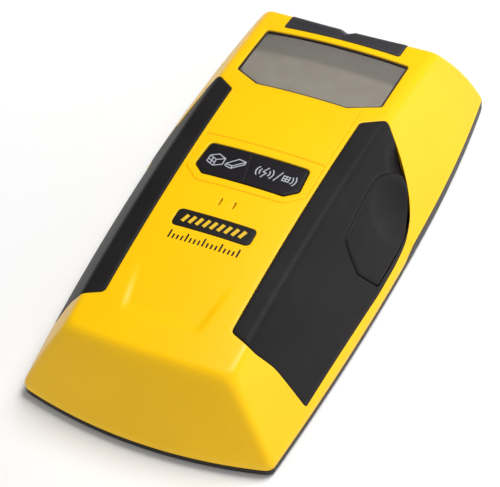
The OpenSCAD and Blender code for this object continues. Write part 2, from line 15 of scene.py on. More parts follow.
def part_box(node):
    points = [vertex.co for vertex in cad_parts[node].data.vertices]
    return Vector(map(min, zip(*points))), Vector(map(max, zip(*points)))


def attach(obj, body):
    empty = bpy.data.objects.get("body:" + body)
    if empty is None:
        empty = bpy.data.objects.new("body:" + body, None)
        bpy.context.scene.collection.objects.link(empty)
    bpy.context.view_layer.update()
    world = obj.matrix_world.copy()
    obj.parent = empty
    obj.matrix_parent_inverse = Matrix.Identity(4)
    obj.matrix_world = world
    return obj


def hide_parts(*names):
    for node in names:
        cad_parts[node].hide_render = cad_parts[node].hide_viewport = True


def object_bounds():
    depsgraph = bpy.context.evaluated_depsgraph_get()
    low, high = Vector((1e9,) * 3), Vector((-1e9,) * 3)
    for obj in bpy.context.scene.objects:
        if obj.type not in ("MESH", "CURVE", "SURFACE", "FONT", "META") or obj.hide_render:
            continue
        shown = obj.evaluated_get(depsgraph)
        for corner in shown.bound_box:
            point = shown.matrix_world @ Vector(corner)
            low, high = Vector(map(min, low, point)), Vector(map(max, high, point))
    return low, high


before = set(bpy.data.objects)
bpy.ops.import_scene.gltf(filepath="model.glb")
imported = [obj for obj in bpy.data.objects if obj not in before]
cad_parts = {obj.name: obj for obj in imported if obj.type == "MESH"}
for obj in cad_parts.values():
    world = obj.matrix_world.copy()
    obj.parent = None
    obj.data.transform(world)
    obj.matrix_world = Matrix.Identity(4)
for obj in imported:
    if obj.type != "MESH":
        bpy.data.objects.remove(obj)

MM = 0.001
CAD_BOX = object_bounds()


def cad_box(node):
    """Lowest and highest corner of a CAD node, in millimetres."""
    low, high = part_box(node)
    return np.array(low) / MM, np.array(high) / MM


# ---- the outer form --------------------------------------------------------------------
BODY_HIGH = np.array(CAD_BOX[1]) / MM
HALF_W = BODY_HIGH[0] - 0.03
HALF_LEN = BODY_HIGH[1] - 0.05
CREST_Z = 31.4
CREST_Y = -7.7
CREST_RADIUS = 478
FAR_RADIUS = 115
FAR_RIDGE = 63.2
BASE_Z = 4
SPLIT_NEAR, SPLIT_FAR = 2.4, 4.4
PROUD = 0.25


def sag(t, radius):
    """How far an arc of that radius falls away at t from its middle."""
    return radius - np.sqrt(radius * radius - t * t)


def mix(a, b, f):
    return a * (1 - f) + b * f


def smooth(t):
    t = np.clip(t, 0, 1)
    return t * t * (3 - 2 * t)


def smooth_min(a, b, width):
    """The smaller of a and b, with a rounded change where they are closer than width."""
    h = np.clip(0.5 + 0.5 * (b - a) / width, 0, 1)
    return mix(b, a, h) - width * h * (1 - h)


def crown(x, y):
    """The top: a long arc along Y with a slighter one across."""
    return CREST_Z - sag(y - CREST_Y, CREST_RADIUS) - sag(x, 204)


def split(y):
    """Height of the joint between the casings: it steps up towards the display end."""
    return mix(SPLIT_NEAR, SPLIT_FAR, np.clip((y - 4) / 6, 0, 1))


def base_z(y):
    """Height where the upright foot of the walls ends."""
    return np.maximum(BASE_Z, split(y) + 0.3)


def wall(foot, ridge, top, at, low):
    """A slanted wall's height at a distance, from its foot up to its ridge, a little crowned."""
    f = (foot - at) / (foot - ridge)
    bulge = np.clip(4 * f * (1 - f), -1, 1) * 0.8
    return mix(low, top, f) + bulge


def form(x, y):
    """Height of the body's outer form over the sole."""
    x = np.abs(x)
    foot = HALF_W - sag(y - 21, np.where(y > 21, 410, 875))
    ridge = 25.2 + 0.022 * y
    low = base_z(y)
    side = wall(foot, ridge, crown(ridge, y), x, low)
    near_foot = HALF_LEN - sag(np.minimum(x, 60), 139)
    near = wall(near_foot, near_foot - 10, 27.1, -y, low)
    far_foot = HALF_LEN - sag(np.minimum(x, 60), FAR_RADIUS)
    far = wall(far_foot, FAR_RIDGE + x * x / 600, 25, y, low)
    walls = smooth_min(smooth_min(side, near, 3.8), far, 3)
    return smooth_min(crown(x, y), walls, mix(2.6, 1.3, smooth((near - side) / 6)))


def slope(height, x, y):
    """How steep a height function is: the length of its gradient."""
    e = 0.02
    along_x = (height(x + e, y) - height(x - e, y)) / (2 * e)
    along_y = (height(x, y + e) - height(x, y - e)) / (2 * e)
    return np.hypot(along_x, along_y)


def steepness(x, y):
    """What a thickness square to the form becomes when it is measured downwards."""
    return np.minimum(np.hypot(1, slope(form, x, y)), 2.4)


def contour(level, count=420):
    """The closed line round the form where its height equals level(y), counter-clockwise."""
    half = np.array([HALF_W, HALF_LEN])
    run = np.linspace(0, 4, count, endpoint=False)
    side, f = run.astype(int) % 4, run % 1
    ways = [(1, 2 * f - 1), (1 - 2 * f, 1), (-1, 1 - 2 * f), (2 * f - 1, -1)]
    x = np.choose(side, [w[0] + 0 * f for w in ways])
    y = np.choose(side, [w[1] + 0 * f for w in ways])
    target = np.stack([x, y], 1) * half
    start = target * [0.6, 0.8]
    low, high = np.zeros(count), np.full(count, 1.1)
    for _ in range(30):
        middle = (low + high) / 2
        p = start + (target - start) * middle[:, None]
        outside = form(p[:, 0], p[:, 1]) < level(p[:, 1])
        high = np.where(outside, middle, high)
        low = np.where(outside, low, middle)
    return respaced(start + (target - start) * low[:, None], 1.1)


# ---- loops and lines in plan -----------------------------------------------------------
def respaced(loop, pitch):
    """A closed loop with its points spread evenly."""
    closed = np.vstack([loop, loop[:1]])
    along = np.concatenate([[0], np.cumsum(np.linalg.norm(np.diff(closed, axis=0), axis=1))])
    count = int(round(along[-1] / pitch))
    at = np.linspace(0, along[-1], count, endpoint=False)
    return np.stack([np.interp(at, along, closed[:, k]) for k in (0, 1)], 1)


def rounded(corners, pitch=0.8):
    """A closed loop through [x, y, radius] corners, counter-clockwise, in pieces of pitch."""
    loop = []
    count = len(corners)
    for i, (x, y, radius) in enumerate(corners):
        here = np.array([x, y], float)
        to_last = np.array(corners[i - 1][:2], float) - here
        to_next = np.array(corners[(i + 1) % count][:2], float) - here
        a, b = np.linalg.norm(to_last), np.linalg.norm(to_next)
        angle = math.acos(np.clip(to_last @ to_next / (a * b), -0.9999, 0.9999))
        reach = min(radius / math.tan(angle / 2), 0.495 * a, 0.495 * b)
        start, end = here + to_last / a * reach, here + to_next / b * reach
        steps = max(1, math.ceil(2 * reach / pitch), 5 if radius > 0.3 else 1)
        for f in np.linspace(0, 1, steps + 1):
            loop.append(mix(mix(start, here, f), mix(here, end, f), f))
    return subdivided(np.array(loop), pitch)


def subdivided(chain, pitch, closed=True):
    """The chain with its long pieces cut up."""
    points = []
    last = len(chain) if closed else len(chain) - 1
    for i in range(last):
        a, b = chain[i], chain[(i + 1) % len(chain)]
        length = np.linalg.norm(b - a)
        if length < 1e-3:
            continue
        pieces = max(1, math.ceil(length / pitch))
        points += [mix(a, b, j / pieces) for j in range(pieces)]
    if not closed:
        points.append(chain[-1])
    return np.array(points)


def offset(chain, by, closed=True):
    """The chain moved to its left by a distance, which is inwards for a loop."""
    step = np.roll(chain, -1, 0) - chain
    if not closed:
        step[-1] = step[-2]
    step /= np.linalg.norm(step, axis=1)[:, None]
    before = np.roll(step, 1, 0)
    if not closed:
        before[0] = step[0]
    here = np.stack([-step[:, 1], step[:, 0]], 1)
    there = np.stack([-before[:, 1], before[:, 0]], 1)
    middle = here + there
    middle /= np.maximum(np.linalg.norm(middle, axis=1)[:, None], 1e-6)
    reach = by / np.maximum((middle * here).sum(1), 0.45)
    return chain + middle * reach[:, None]


def inside(points, loop):
    """Which points lie inside a closed loop."""
    found = np.zeros(len(points), bool)
    a, b = loop, np.roll(loop, -1, 0)
    rise = np.where(b[:, 1] == a[:, 1], 1e-12, b[:, 1] - a[:, 1])
    for start in range(0, len(points), 4000):
        x = points[start:start + 4000, 0, None]
        y = points[start:start + 4000, 1, None]
        spans = (a[:, 1] > y) != (b[:, 1] > y)
        left = x < (b[:, 0] - a[:, 0]) * (y - a[:, 1]) / rise + a[:, 0]
        found[start:start + 4000] = (spans & left).sum(1) % 2 == 1
    return found


def distance(points, chain, closed=True, reach=3.0):
    """Distance of each point to the chain, or a large one where it is beyond reach."""
    found = np.full(len(points), 99.0)
    close = np.all((points > chain.min(0) - reach) & (points < chain.max(0) + reach), 1)
    which = np.nonzero(close)[0]
    a = chain if closed else chain[:-1]
    b = np.roll(chain, -1, 0) if closed else chain[1:]
    way = b - a
    length2 = np.maximum((way * way).sum(1), 1e-9)
    for start in range(0, len(which), 2000):
        part = which[start:start + 2000]
        gap = points[part, None, :] - a
        f = np.clip((gap * way).sum(2) / length2, 0, 1)
        found[part] = np.linalg.norm(gap - f[..., None] * way, axis=2).min(1)
    return found


def mirrored(loop):
    """A loop on the other side, still counter-clockwise."""
    return (loop * [-1, 1])[::-1]


# ---- closed meshes over a plan ---------------------------------------------------------
ROUND_STEPS = [0.0, 0.08, 0.29, 0.62, 1.0]


def round_drop(d, radius):
    """How far a rounded edge of that radius has fallen at distance d from the rim."""
    t = np.clip(radius - d, 0, radius)
    return sag(t, radius + 1e-9)


class Plan:
    """Triangles over a region seen from above, with lines that the edges follow."""

    def __init__(self, outer, pitch=1.0):
        self.loops = [outer]
        self.lines = []
        self.pitch = pitch
        self.features = []

    def hole(self, loop):
        self.loops.append(loop)
        return self

    def edge(self, loop, radius, outwards=False):
        """Rings along a loop for an edge that is rounded on its inside or its outside."""
        sign = -1 if outwards else 1
        self.lines += [(offset(loop, sign * radius * s), True) for s in ROUND_STEPS[1:]]
        self.features.append(("edge", loop, radius, outwards))
        return self

    def pocket(self, loop, depth, radius):
        """A floor at a depth inside the loop, with a steep wall and a rounded edge outside."""
        self.lines += [(loop, True), (offset(loop, 0.06), True)]
        self.features.append(("pocket", loop, depth, radius))
        return self.edge(loop, radius, True)

    def groove(self, line, width, depth, closed=False):
        """A fine engraved line."""
        for s in (-0.5, -0.25, 0, 0.25, 0.5):
            self.lines.append((offset(line, s * width, closed), closed))
        self.features.append(("groove", line, width, depth, closed))
        return self

    def fill(self):
        """The points and triangles of the plan."""
        chains = [(loop, True) for loop in self.loops] + self.lines
        points, edges = [], []
        for chain, closed in chains:
            first, count = len(points), len(chain)
            points.extend(chain)
            pairs = count if closed else count - 1
            edges.extend((first + i, first + (i + 1) % count) for i in range(pairs))
        outer = self.loops[0]
        tree = KDTree(len(points))
        for i, p in enumerate(points):
            tree.insert((p[0], p[1], 0), i)
        tree.balance()
        low, high = outer.min(0), outer.max(0)
        rows = np.arange(low[1], high[1], self.pitch * 0.866)
        grid = []
        for j, y in enumerate(rows):
            x = np.arange(low[0] + (j % 2) * self.pitch / 2, high[0], self.pitch)
            grid.append(np.stack([x, np.full(len(x), y)], 1))
        grid = self.within(np.vstack(grid))
        spare = [p for p in grid if tree.find((p[0], p[1], 0))[2] > 0.55 * self.pitch]
        vectors = [Vector((float(p[0]), float(p[1]))) for p in points + spare]
        found = delaunay_2d_cdt(vectors, edges, [], 0, 1e-5)
        plan = np.array([tuple(v) for v in found[0]])
        triangles = np.array([f for f in found[2] if len(f) == 3])
        centres = plan[triangles].mean(1)
        good = inside(centres, outer)
        for loop in self.loops[1:]:
            good &= ~inside(centres, loop)
        triangles = triangles[good]
        a, b, c = (plan[triangles[:, k]] for k in range(3))
        area = (b[:, 0] - a[:, 0]) * (c[:, 1] - a[:, 1]) - (b[:, 1] - a[:, 1]) * (c[:, 0] - a[:, 0])
        triangles[area < 0] = triangles[area < 0][:, ::-1]
        triangles = triangles[np.abs(area) > 1e-9]
        used, triangles = np.unique(triangles, return_inverse=True)
        return plan[used], triangles.reshape(-1, 3)

    def within(self, points):
        good = inside(points, self.loops[0])
        for loop in self.loops[1:]:
            good &= ~inside(points, loop)
        return points[good]

    def relief(self, points):
        """How far the features lower the surface at each point, and how near an edge it is."""
        drop = np.zeros(len(points))
        nearest = np.full(len(points), 99.0)
        floor = np.zeros(len(points))
        for kind, line, *values in self.features:
            if kind == "edge":
                radius = values[0]
                d = distance(points, line)
                drop = np.maximum(drop, np.where(d < radius, round_drop(d, radius), 0))
                nearest = np.minimum(nearest, d)
            elif kind == "groove":
                width, depth, closed = values
                d = distance(points, line, closed)
                share = np.clip(d / (width / 2), 0, 1)
                drop = np.maximum(drop, depth * (1 + np.cos(math.pi * share)) / 2)
            elif kind == "pocket":
                depth = values[0]
                deep = depth * steepness(*points.T)
                floor = np.where(inside(points, offset(line, 0.03)), deep, floor)
        return np.where(floor > 0, floor, drop), nearest


def slab(plan, height, under):
    """A closed mesh over the plan: height(x, y) above, less its relief, and under(x, y, top) below."""
    points, triangles = plan.fill()
    x, y = points.T
    drop, nearest = plan.relief(points)
    top = height(x, y) - drop
    bottom = under(x, y, top)
    count = len(points)
    edge = set()
    for a, b, c in triangles.tolist():
        edge.update(((a, b), (b, c), (c, a)))
    rim = [(a, b) for a, b in edge if (b, a) not in edge]
    vertices = np.vstack([np.stack([x, y, top], 1), np.stack([x, y, bottom], 1)])
    faces = triangles.tolist() + (triangles[:, ::-1] + count).tolist()
    faces += [(b, a, a + count, b + count) for a, b in sorted(rim)]
    wear = np.concatenate([np.exp(-nearest / 0.45), np.zeros(count)])
    return vertices, faces, wear


def mesh_object(name, parts, material, body="casing", place=None, sharp=38):
    """One object from one or more (vertices, faces, wear) in millimetres."""
    vertices, faces, wear = [], [], []
    for part in parts:
        first = sum(len(v) for v in vertices)
        vertices.append(part[0])
        faces += [tuple(i + first for i in face) for face in part[1]]
        wear.append(part[2] if len(part) > 2 else np.zeros(len(part[0])))
    points = np.vstack(vertices)
    if place:
        points = place(*points.T)
    mesh = bpy.data.meshes.new(name)
    mesh.from_pydata((points * MM).tolist(), [], faces)
    attribute = mesh.attributes.new("wear", "FLOAT", "POINT")
    attribute.data.foreach_set("value", np.concatenate(wear).astype(np.float32))
    mesh.shade_smooth()
    mesh.set_sharp_from_angle(angle=math.radians(sharp))
    made = bpy.data.objects.new(name, mesh)
    bpy.context.scene.collection.objects.link(made)
    mesh.materials.append(material)
    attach(made, body)
    return made


# ---- materials -------------------------------------------------------------------------
def srgb(r, g, b):
    """A colour given as it looks on a screen, 0 to 255, in the shader's linear values."""
    def linear(c):
        c /= 255
        return c / 12.92 if c <= 0.04045 else ((c + 0.055) / 1.055) ** 2.4
    return (linear(r), linear(g), linear(b), 1)


class Material:
    """A node material under construction."""

    def __init__(self, name, roughness=0.4, specular=0.5, **sockets):
        self.made = bpy.data.materials.new(name)
        self.made.use_nodes = True
        self.tree = self.made.node_tree
        self.shader = self.tree.nodes["Principled BSDF"]
        self.shader.inputs["Roughness"].default_value = roughness
        self.shader.inputs["Specular IOR Level"].default_value = specular
        for socket, value in sockets.items():
            self.shader.inputs[socket.replace("_", " ")].default_value = value
        self.place = self.node("ShaderNodeTexCoord").outputs["Object"]

    def node(self, kind, **values):
        made = self.tree.nodes.new(kind)
        for name, value in values.items():
            setattr(made, name, value)
        return made

    def link(self, a, b):
        self.tree.links.new(a, b)

    def noise(self, size, detail=2.0, stretch=(1, 1, 1)):
        """Noise whose grains are about size millimetres across."""
        scaled = self.node("ShaderNodeMapping")
        scaled.inputs["Scale"].default_value = [s / (size * MM) for s in stretch]
        self.link(self.place, scaled.inputs["Vector"])
        made = self.node("ShaderNodeTexNoise")
        made.inputs["Scale"].default_value = 1
        made.inputs["Detail"].default_value = detail
        self.link(scaled.outputs["Vector"], made.inputs["Vector"])
        return made.outputs["Fac"]

    def ramp(self, value, low, high, a, b):
        """A value between low and high turned into one from a to b."""
        made = self.node("ShaderNodeMapRange", interpolation_type="SMOOTHSTEP")
        self.link(value, made.inputs["Value"])
        for socket, number in zip(("From Min", "From Max", "To Min", "To Max"), (low, high, a, b)):
            made.inputs[socket].default_value = number
        return made.outputs["Result"]

    def blend(self, share, a, b):
        """Colour a where share is 0 and b where it is 1."""
        made = self.node("ShaderNodeMix", data_type="RGBA")
        self.link(share, made.inputs["Factor"])
        for socket, colour in ((made.inputs["A"], a), (made.inputs["B"], b)):
            if isinstance(colour, tuple):
                socket.default_value = colour
            else:
                self.link(colour, socket)
        return made.outputs["Result"]

    def wear(self):
        return self.node("ShaderNodeAttribute", attribute_name="wear").outputs["Fac"]

    def colour(self, value):
        if isinstance(value, tuple):
            self.shader.inputs["Base Color"].default_value = value
        else:
            self.link(value, self.shader.inputs["Base Color"])
        return self

    def roughness(self, value):
        self.link(value, self.shader.inputs["Roughness"])
        return self

    def bump(self, value, depth, strength=1.0):
        """Relief of depth millimetres from a value of 0 to 1; a second call adds to the first."""
        made = self.node("ShaderNodeBump")
        made.inputs["Distance"].default_value = depth * MM
        made.inputs["Strength"].default_value = strength
        self.link(value, made.inputs["Height"])
        old = self.shader.inputs["Normal"].links
        if old:
            self.link(old[0].from_socket, made.inputs["Normal"])
        self.link(made.outputs["Normal"], self.shader.inputs["Normal"])
        return self


def plastic(name, colour, other, rough, grain=0.35, depth=0.012, worn=None, **sockets):
    """Moulded plastic: a fine grain, slight mottling in colour and gloss, and worn edges."""
    m = Material(name, **sockets)
    tone = m.blend(m.ramp(m.noise(22), 0.35, 0.65, 0, 1), colour, other)
    if worn:
        tone = m.blend(m.ramp(m.wear(), 0.35, 1, 0, 0.5), tone, worn)
    m.colour(tone)
    m.roughness(m.ramp(m.noise(1.2, 4), 0.3, 0.7, rough - 0.03, rough + 0.03))
    return m.bump(m.noise(grain, 3), depth).made


def metal(name, colour, other, rough, brushed=(1, 1, 1)):
    """Plated or bare metal with fine brushing and dull patches."""
    m = Material(name, Metallic=1.0)
    m.colour(m.blend(m.ramp(m.noise(2.5, 4), 0.35, 0.65, 0, 1), colour, other))
    m.roughness(m.ramp(m.noise(0.6, 3, brushed), 0.3, 0.7, rough - 0.08, rough + 0.1))
    return m.bump(m.noise(0.25, 2, brushed), 0.004).made


YELLOW = plastic("yellow_abs", (0.97, 0.56, 0.001, 1), (0.94, 0.54, 0.001, 1), 0.36,
                 worn=(0.95, 0.62, 0.02, 1), specular=0.25)
RUBBER = plastic("grip_rubber", srgb(25, 23, 24), srgb(30, 28, 29), 0.55, grain=0.22, depth=0.01,
                 worn=srgb(50, 48, 52), specular=0.15)
KEY_BLACK = plastic("key_rubber", srgb(24, 21, 24), srgb(27, 24, 27), 0.5, grain=0.2, depth=0.006,
                    worn=srgb(46, 43, 48), specular=0.16)
INSERT_DARK = plastic("insert_nylon", srgb(48, 48, 52), srgb(43, 43, 47), 0.5, grain=0.3,
                      worn=srgb(70, 70, 76), specular=0.35)
CASING_DARK = plastic("base_abs", srgb(30, 25, 25), srgb(25, 21, 21), 0.45, grain=0.4, depth=0.01,
                      worn=srgb(50, 44, 42), specular=0.25)
BLACK = plastic("inner_black", srgb(30, 30, 32), srgb(36, 36, 38), 0.5)
PRINT_GREY = plastic("print_grey", srgb(172, 175, 184), srgb(160, 163, 172), 0.6, depth=0.004, specular=0.2)
PRINT_YELLOW = plastic("print_yellow", (0.8, 0.5, 0.01, 1), (0.74, 0.46, 0.01, 1), 0.5, depth=0.004)
PRINT_BLACK = plastic("print_black", srgb(26, 23, 21), srgb(31, 28, 25), 0.5, depth=0.004, specular=0.2)
WHITE = plastic("white_acetal", srgb(225, 223, 215), srgb(215, 212, 202), 0.4)
PAD_WHITE = plastic("pad_felt", srgb(226, 224, 218), srgb(208, 205, 198), 0.85, grain=0.15, depth=0.06)
FOAM = plastic("foam", srgb(70, 70, 74), srgb(54, 54, 58), 0.9, grain=0.7, depth=0.25)
COMPONENT = plastic("component_mix", srgb(196, 140, 60), srgb(60, 60, 66), 0.45)
RED = plastic("lead_red", srgb(190, 22, 18), srgb(170, 18, 15), 0.4)
LEAD_BLACK = plastic("lead_black", srgb(24, 24, 26), srgb(32, 32, 34), 0.4)
GREY_PLASTIC = plastic("switch_grey", srgb(96, 96, 100), srgb(84, 84, 88), 0.45)
STEEL = metal("zinc_steel", srgb(196, 198, 202), srgb(170, 172, 178), 0.3)
COPPER = metal("copper", srgb(214, 130, 84), srgb(190, 110, 70), 0.35)


def make_board_green():
    """Solder mask over faint copper tracks."""
    m = Material("board_green", Coat_Weight=0.4)
    tracks = m.node("ShaderNodeTexBrick")
    tracks.inputs["Scale"].default_value = 220
    tracks.inputs["Mortar Size"].default_value = 0.07
    m.link(m.place, tracks.inputs["Vector"])
    m.colour(m.blend(tracks.outputs["Fac"], srgb(20, 92, 50), srgb(34, 116, 66)))
    return m.bump(tracks.outputs["Fac"], 0.03).made


def make_display():
    """The dormant display: warm grey, with painted shade darkening a strip along its far third."""
    low, high = cad_box("lcd_panel")
    m = Material("display_grey", roughness=0.45, specular=0.3)
    axes = m.node("ShaderNodeSeparateXYZ")
    m.link(m.place, axes.inputs["Vector"])
    # painted shade: the far third is darkened to stand for the shadow of the window's far edge
    painted_shade_band = m.ramp(axes.outputs["Y"], mix(low[1], high[1], 0.6) * MM, mix(low[1], high[1], 0.74) * MM, 0, 1)
    mottle = m.blend(m.ramp(m.noise(9, 3), 0.35, 0.65, 0, 1), srgb(156, 148, 138), srgb(149, 141, 131))
    m.colour(m.blend(painted_shade_band, mottle, srgb(125, 120, 114)))
    return m.bump(m.noise(0.4), 0.006).made


def make_lens():
    """Clear acrylic; its low index stands for an anti-glare coat."""
    m = Material("lens_clear", specular=0.5, IOR=1.15, Transmission_Weight=1.0)
    m.colour((0.93, 0.93, 0.93, 1))
    m.roughness(m.ramp(m.noise(6, 3), 0.3, 0.7, 0.02, 0.06))
    return m.made


# painted shade: a dark brown ring round the display window, standing for the shadow in the gap at the
# casing's inside edge
PAINTED_GAP_SHADE = plastic("painted_gap_shade_brown", srgb(58, 42, 34), srgb(48, 36, 30), 0.5, depth=0.004, specular=0.2)
BOARD = make_board_green()
DISPLAY = make_display()
LENS = make_lens()


# ---- the casings -----------------------------------------------------------------------
def corners(points, radius):
    """[x, y] points given one corner radius, or [x, y, radius] ones as they are."""
    return [[*p, radius] if len(p) == 2 else list(p) for p in points]


def both(half, radius):
    """A whole outline from its right-hand half, listed from the near end."""
    right = corners(half, radius)
    return rounded(right + [[-x, y, r] for x, y, r in reversed(right)])


GRIP_RIGHT = rounded([[18.4, -53.2, 1.6], [24.7, -55.5, 4], [29.8, -53.2, 5], [37.3, -52.9, 0.8],
                      [39, -25.8, 99], [39.9, -10.3, 99], [40.1, -0.3, 99], [40, 5.7, 99],
                      [39.6, 10.4, 99], [38.5, 15, 99], [36.9, 18.6, 99], [34.7, 22, 99],
                      [31.6, 25.6, 99], [25.9, 30.5, 1.4], [19.6, 26, 1.6]])
LCD_Y = 42.5
LCD_TILT = math.asin((LCD_Y - CREST_Y) / CREST_RADIUS)
WINDOW = both([[x, LCD_Y + y * math.cos(LCD_TILT)]
               for x, y in ((13.8, -12.2), (22.2, -7.5), (22.1, 12.2))], 0.9)
KEY_NEAR, KEY_FAR = -7.9, 3.4
KEY_HALF = [[12.1, KEY_NEAR, 1.3], [15.4, -5.1, 1.3], [14.8, KEY_FAR, 1.3]]
KEY_BAR = both(KEY_HALF, 1.3)
BADGE_X, BADGE_Y, BADGE_W, BADGE_L = -0.4, -24.5, 23, 5.8
BADGE = rounded([[BADGE_X + sx * BADGE_W / 2, BADGE_Y + sy * BADGE_L / 2, 1.6]
                 for sx, sy in ((-1, -1), (1, -1), (1, 1), (-1, 1))])
SLITS = [rounded([[x + sx * 0.3, -16.1 + sy * 1.3, 0.29]
                  for sx, sy in ((-1, -1), (1, -1), (1, 1), (-1, 1))], 0.4)
         for x in (-2.5, 1.6)]
SIDE_AT = (34.5, 4.2, 15.5)
SIDE_TILT = math.radians(58.2)
INSERT_X, INSERT_NEAR, INSERT_LOW = 18.1, 57.5, 8


def insert_loop(grow):
    """The end insert from above: over the far edge and down the far wall."""
    x = INSERT_X + grow
    share = (INSERT_LOW - BASE_Z - grow) / (25 - BASE_Z)

    def far(t):
        return mix(HALF_LEN - sag(abs(t), FAR_RADIUS), FAR_RIDGE + t * t / 600, share)

    arc = [[t, far(t), 99] for t in np.linspace(x - 1.5, 1.5 - x, 9)]
    return rounded([[-x, INSERT_NEAR - grow, 0.8], [x, INSERT_NEAR - grow, 0.8], [x, far(x), 0.6]]
                   + arc + [[-x, far(x), 0.6]])


def side_frame(u, v, w):
    """Points from the scan key's frame: u down the slope, v along the body, w outwards."""
    x = SIDE_AT[0] + u * math.cos(SIDE_TILT) + w * math.sin(SIDE_TILT)
    z = SIDE_AT[2] - u * math.sin(SIDE_TILT) + w * math.cos(SIDE_TILT)
    return np.stack([x, SIDE_AT[1] + v, z], 1)


def side_height(u, v):
    """Height of the outer form in the scan key's frame."""
    low, high = np.full(len(u), -8.0), np.full(len(u), 8.0)
    for _ in range(26):
        w = (low + high) / 2
        x, y, z = side_frame(u, v, w).T
        above = z > form(x, y)
        high = np.where(above, w, high)
        low = np.where(above, low, w)
    return low


SIDE_KEY = rounded(corners([[9.4, -13.7, 1], [9.5, -4.5, 99], [9.5, 1.5, 99], [8.9, 5.4, 99],
                            [6.8, 10.3, 99], [4.5, 13.3, 99], [0.6, 17, 3], [-2.5, 17.8, 3],
                            [-6.2, 14.6, 6], [-9.2, 9.8, 8], [-9.4, 1.7, 99], [-8.1, -13.2, 1.5],
                            [-5.4, -14.8, 1.5], [1.2, -17.2, 3]], 1), 0.7)


def key_outline_on_body(grow):
    """The scan key's outline, grown, where it meets the outer form, seen from above."""
    loop = offset(SIDE_KEY, -grow)
    w = side_height(*loop.T)
    return side_frame(*loop.T, w)[:, :2]


def along(*points, pitch=0.8):
    return subdivided(np.array(points, float), pitch, closed=False)


def centre_recess(x, y):
    """The shallow trough that runs out between the grips at the near end."""
    run = smooth((-38 - y) / 15) * smooth((y + 58.2) / 4.5)
    left = -14.9 + (-39.2 - y) * 0.19
    right = 12.8 + (y + 41.5) * 0.15
    return 0.62 * run * smooth((x - left + 0.3) / 1.6) * smooth((right + 0.15 - x) / 0.9)


def casing_height(x, y):
    return form(x, y) - centre_recess(x, y)


def casing_under(x, y, top):
    wall_t = 2.6 * steepness(x, y)
    lowest = split(y) + 0.12
    return np.maximum(np.minimum(form(x, y) - wall_t, top - 0.7), lowest)


def make_top_casing():
    rim = contour(lambda y: base_z(y) + 0.02)
    plan = Plan(rim, 0.95).edge(rim, 0.25)
    for loop in (WINDOW, KEY_BAR):
        gap = offset(loop, -0.25)
        plan.hole(gap).edge(gap, 0.35, True)
    for loop in SLITS:
        plan.hole(loop).edge(loop, 0.12, True)
    for grip in (GRIP_RIGHT, mirrored(GRIP_RIGHT)):
        plan.pocket(offset(grip, -0.12), 1.75, 0.22)
    plan.hole(key_outline_on_body(0.1))
    plan.pocket(insert_loop(0.12), 1.75, 0.25)
    plan.pocket(offset(BADGE, -0.1), 0.5, 0.15)
    panel = [(-18.1, 29.6), (-18, 7.3), (-18.1, -5.1), (-17.7, -6.5), (-13.1, -10.6), (-11.5, -10.8),
             (12, -10.5), (14, -9.9), (17.9, -6.1), (17.9, 6.8), (17.9, 31.7)]
    plan.groove(along(*panel), 0.5, 0.28)
    plan.groove(along((-17.9, 6.7), (17.8, 6.6)), 0.5, 0.28)
    made = mesh_object("top_casing_shell", [slab(plan, casing_height, casing_under)], YELLOW)
    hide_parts("top_casing")


def rectangle(x0, y0, x1, y1, radius, pitch=0.9):
    return rounded([[x0, y0, radius], [x1, y0, radius], [x1, y1, radius], [x0, y1, radius]], pitch)


def circle(x, y, radius, count=32):
    turn = np.linspace(0, 2 * math.pi, count, endpoint=False)
    return np.stack([x + radius * np.cos(turn), y + radius * np.sin(turn)], 1)


DOOR_LOW, DOOR_HIGH = cad_box("battery_door")
PAD_T = 0.4
SCREWS = [(sx * x, y) for sx in (-1, 1) for x, y in ((20, -65.5), (30, 60.5))]


def turned_over(plan, height, under):
    """A slab whose features are on its underside: height() is there measured downwards."""
    vertices, faces, wear = slab(plan, height, under)
    flipped = vertices * [1, 1, -1]
    return flipped, [tuple(reversed(f)) for f in faces], wear


def make_base_casing():
    rim = contour(base_z)
    plan = Plan(rim, 1.6).edge(rim, 0.45)
    bay = rectangle(-14.35, DOOR_LOW[1] - 0.9, 14.35, DOOR_HIGH[1] + 0.3, 0.6)
    plan.hole(bay).edge(bay, 0.3, True)
    for x, y in SCREWS:
        well = circle(x, y, 3.1)
        plan.hole(well).edge(well, 0.3, True)

    def sole(x, y):
        scallop = np.clip(1 - np.hypot(x, y - DOOR_HIGH[1]) / 6, 0, 1)
        return -PAD_T - 1.5 * smooth(scallop * 1.6)

    def floor(x, y, top):
        return -np.minimum(form(x, y), split(y) - 0.1)

    parts = [turned_over(plan, sole, floor)]
    outer = rectangle(-15.65, -67.6, 15.65, -17.2, 1.5)
    bay_wall = Plan(outer, 2.5).hole(rectangle(-14.35, -66.6, 14.35, -18, 0.5)).edge(outer, 0.4)
    parts.append(slab(bay_wall, lambda x, y: 12.4 + 0 * x, lambda x, y, top: 2.0 + 0 * x))
    made = mesh_object("base_casing_shell", parts, CASING_DARK)
    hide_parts("base_casing")


def make_door():
    outer = rectangle(-14.05, DOOR_LOW[1], 14.05, DOOR_HIGH[1], 0.5)
    plan = Plan(outer, 1.4).edge(outer, 0.3)
    for i in range(5):
        y = DOOR_HIGH[1] - 6 - 2 * i
        plan.groove(along((-6 + 0.8 * i, y), (6 - 0.8 * i, y)), 1.1, 0.5)

    def outside(x, y):
        scallop = np.clip(1 - np.hypot(x, y - DOOR_HIGH[1]) / 6, 0, 1)
        return -PAD_T - 1.3 * smooth(scallop * 1.6)

    parts = [turned_over(plan, outside, lambda x, y, top: -SPLIT_NEAR + 0 * x)]
    parts += [pin(side * 14.0, DOOR_LOW[1] + 1.2, 1.8, side * 15.4, 0.9) for side in (-1, 1)]
    latch = rectangle(-4, DOOR_HIGH[1] - 1.4, 4, DOOR_HIGH[1] - 0.2, 0.4)
    parts.append(slab(Plan(latch, 1).edge(latch, 0.3), lambda x, y: 6 + 0 * x, lambda x, y, top: 2.3 + 0 * x))
    made = mesh_object("battery_door_panel", parts, CASING_DARK, "door")
    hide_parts("battery_door")


